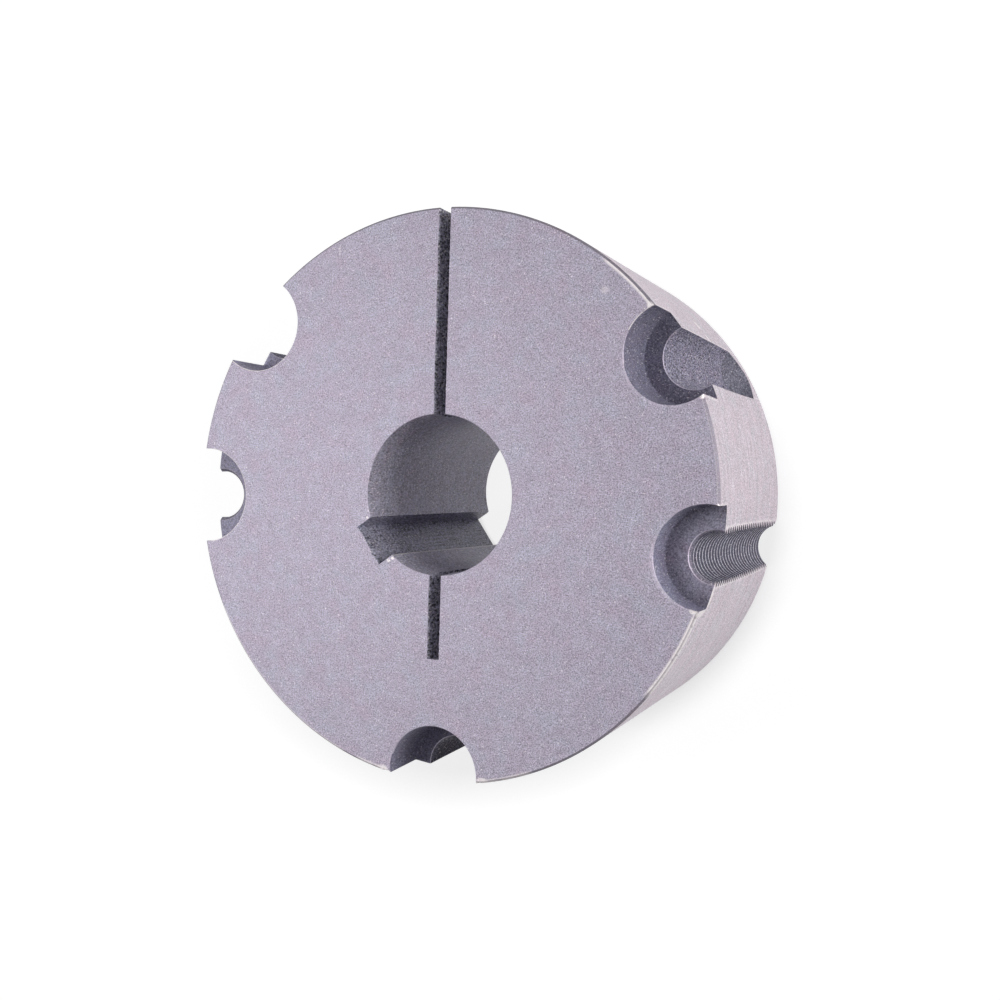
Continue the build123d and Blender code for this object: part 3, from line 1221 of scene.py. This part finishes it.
class MESH_OT_taper_bush(bpy.types.Operator):
    """Make the taper bush: blank, bore, keyway, saw cuts, half-holes and thread"""

    bl_idname = "mesh.taper_bush"
    bl_label = "Taper Bush"

    def execute(self, context):
        sizes = context.scene.bush_sizes
        finishes = bush_materials(context.scene.bush_finish, sizes)
        # Each finish's place among the piece's materials, which its faces carry
        number = {name: place for place, name in enumerate(finishes)}
        materials = list(finishes.values())
        bush = blank(sizes, number, materials)
        relief = sizes.bore_diameter / 2 + sizes.relief_depth
        cutters = [
            keyway(sizes, number, materials),
            saw_cut("split_cutter", sizes, sizes.large_end_diameter, SPLIT_SEED, number, materials),
            saw_cut("relief_cutter", sizes, -relief, RELIEF_SEED, number, materials),
        ]
        for angle in LOCKING_ANGLES:
            cutters.append(seat_cutter(sizes, angle, number, materials))
            cutters.append(locking_hole(sizes, angle, number, materials))
        for angle in JACKING_ANGLES:
            cutters.append(seat_cutter(sizes, angle, number, materials))
            cutters.append(tapped_hole(sizes, angle, number, materials))
            cutters += countersinks(sizes, angle, number, materials)
        for seed, (place, halves) in enumerate(NICKS):
            cutters.append(nick(place, halves, seed, number, materials))
        cut(bush, cutters)
        smooth(bush)
        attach(bush, BODY)
        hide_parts(NODE)
        return {"FINISHED"}


class SCENE_OT_bush_studio(bpy.types.Operator):
    """Make the floor, the soft light and the camera"""

    bl_idname = "scene.bush_studio"
    bl_label = "Studio"

    def execute(self, context):
        settings = context.scene.bush_studio
        context.scene.view_settings.view_transform = "Standard"
        photo_camera(settings)
        studio_world(settings)
        studio_floor(settings)
        soft_lamp("left_lamp", LEFT_LAMP_PLACE, settings.left_lamp)
        soft_lamp("right_lamp", RIGHT_LAMP_PLACE, settings.right_lamp)
        return {"FINISHED"}


class VIEW3D_PT_taper_bush(bpy.types.Panel):
    """Lists the bush's pieces and their settings"""

    bl_label = "Taper Bush"
    bl_space_type = "VIEW_3D"
    bl_region_type = "UI"
    bl_category = "Taper Bush"

    def draw(self, context):
        scene = context.scene
        for label, group, operator in (
            ("Sizes", scene.bush_sizes, None),
            ("Colours", scene.bush_finish, MESH_OT_taper_bush.bl_idname),
            ("Studio", scene.bush_studio, SCENE_OT_bush_studio.bl_idname),
        ):
            box = self.layout.box()
            box.label(text=label)
            for name in group.__annotations__:
                box.prop(group, name)
            if operator:
                box.operator(operator)


CLASSES = (
    BushSizes, BushFinish, StudioSettings, MESH_OT_taper_bush, SCENE_OT_bush_studio,
    VIEW3D_PT_taper_bush,
)


def register():
    for each in CLASSES:
        bpy.utils.register_class(each)
    bpy.types.Scene.bush_sizes = bpy.props.PointerProperty(type=BushSizes)
    bpy.types.Scene.bush_finish = bpy.props.PointerProperty(type=BushFinish)
    bpy.types.Scene.bush_studio = bpy.props.PointerProperty(type=StudioSettings)


def unregister():
    del bpy.types.Scene.bush_studio
    del bpy.types.Scene.bush_finish
    del bpy.types.Scene.bush_sizes
    for each in reversed(CLASSES):
        bpy.utils.unregister_class(each)


def main():
    """Makes the bush and its studio."""
    register()
    bpy.ops.scene.bush_studio()
    bpy.ops.mesh.taper_bush()


if __name__ == "__main__":
    main()
